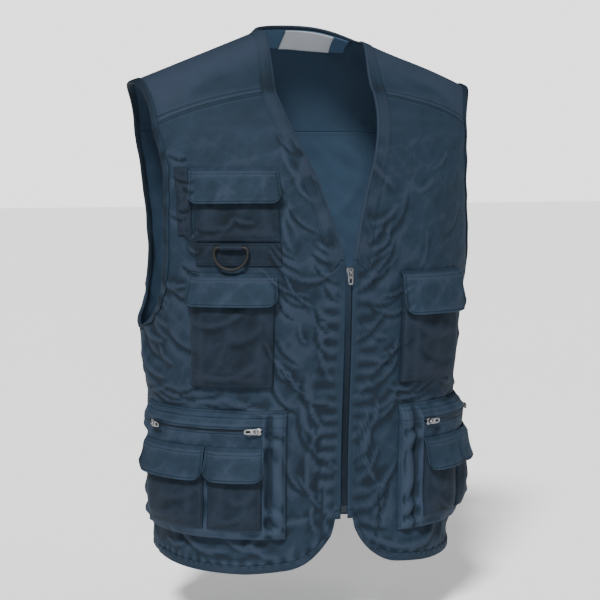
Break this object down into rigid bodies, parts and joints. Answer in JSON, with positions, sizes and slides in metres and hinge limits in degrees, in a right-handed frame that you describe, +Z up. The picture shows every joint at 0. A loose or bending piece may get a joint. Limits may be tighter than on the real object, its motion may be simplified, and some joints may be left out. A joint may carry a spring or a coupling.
{
  "type": "multi-pocket work vest",
  "caption": "Sleeveless V-neck work vest with a shoulder yoke, front zip, flap pockets and a ring on the chest, and zipped bellows pockets with small flap pockets above the hem.",
  "frame": {"origin": "between the two side-neck points, where the vest hangs on the shoulders", "axes": "-Y to the front of the vest, -X to the wearer's right, +Z up"},
  "size_m": [0.45, 0.3082, 0.6691],
  "materials": {
    "navy_cloth": "polyester and cotton twill, matt",
    "trim_cloth": "polyester and cotton twill, matt",
    "zip_tape": "woven tape, matt",
    "zip_teeth": "moulded, satin",
    "zip_metal": "nickel plate, satin",
    "ring_black": "black enamel, satin",
    "label_white": "woven label, satin"
  },
  "bodies": {
    "vest": {"front_panel_right": "navy_cloth", "front_panel_left": "navy_cloth", "back_panel": "navy_cloth", "yoke": "navy_cloth", "armhole_band_right": "trim_cloth", "armhole_band_left": "trim_cloth", "neck_band": "trim_cloth", "neck_facing": "trim_cloth", "neck_label": "label_white", "hem_band_right": "trim_cloth", "hem_band_left": "trim_cloth", "hem_band_back": "trim_cloth", "chest_pocket_right": "navy_cloth", "chest_flap_right": "navy_cloth", "chest_pocket_left": "navy_cloth", "chest_flap_left": "navy_cloth", "upper_pocket": "navy_cloth", "upper_flap": "navy_cloth", "pen_pocket": "navy_cloth", "ring_band": "navy_cloth", "ring_tab": "navy_cloth", "lower_pocket_right": "navy_cloth", "lower_top_right": "navy_cloth", "lower_zip_tape_right": "zip_tape", "lower_zip_teeth_right": "zip_teeth", "small_pocket_right_front": "navy_cloth", "small_flap_right_front": "navy_cloth", "small_pocket_right_side": "navy_cloth", "small_flap_right_side": "navy_cloth", "lower_pocket_left": "navy_cloth", "lower_top_left": "navy_cloth", "lower_zip_tape_left": "zip_tape", "lower_zip_teeth_left": "zip_teeth", "small_pocket_left_front": "navy_cloth", "small_flap_left_front": "navy_cloth", "small_pocket_left_side": "navy_cloth", "small_flap_left_side": "navy_cloth", "zip_teeth": "zip_teeth", "zip_tape_right": "zip_tape", "zip_tape_left": "zip_tape", "zip_stop": "zip_metal", "zip_slider": "zip_metal", "lower_right_front_slider": "zip_metal", "lower_right_side_slider": "zip_metal", "lower_left_front_slider": "zip_metal", "lower_left_side_slider": "zip_metal"},
    "d_ring": {"d_ring": "ring_black"},
    "zip_pull": {"zip_pull": "zip_metal"},
    "lower_right_front_pull": {"lower_right_front_pull": "zip_metal"},
    "lower_right_side_pull": {"lower_right_side_pull": "zip_metal"},
    "lower_left_front_pull": {"lower_left_front_pull": "zip_metal"},
    "lower_left_side_pull": {"lower_left_side_pull": "zip_metal"}
  },
  "joints": [
    {"name": "d_ring_hinge", "type": "hinge", "parent": "vest", "child": "d_ring", "pos_m": [-0.14003, -0.13258, -0.26094], "axis": [-0.8828, 0.4698, 0], "range_deg": [0, 140]},
    {"name": "zip_pull_hinge", "type": "hinge", "parent": "vest", "child": "zip_pull", "pos_m": [0, -0.16095, -0.29133], "axis": [-1, 0, 0], "range_deg": [0, 170]},
    {"name": "lower_right_front_pull_hinge", "type": "hinge", "parent": "vest", "child": "lower_right_front_pull", "pos_m": [-0.11364, -0.14603, -0.479], "axis": [-0.0208, -0.0518, 0.9984], "range_deg": [0, 170]},
    {"name": "lower_right_side_pull_hinge", "type": "hinge", "parent": "vest", "child": "lower_right_side_pull", "pos_m": [-0.21066, -0.03883, -0.47911], "axis": [0.0578, 0.014, -0.9982], "range_deg": [0, 170]},
    {"name": "lower_left_front_pull_hinge", "type": "hinge", "parent": "vest", "child": "lower_left_front_pull", "pos_m": [0.11364, -0.14603, -0.479], "axis": [-0.0208, 0.0518, -0.9984], "range_deg": [0, 170]},
    {"name": "lower_left_side_pull_hinge", "type": "hinge", "parent": "vest", "child": "lower_left_side_pull", "pos_m": [0.21066, -0.03883, -0.47911], "axis": [0.0578, -0.014, 0.9982], "range_deg": [0, 170]}
  ]
}
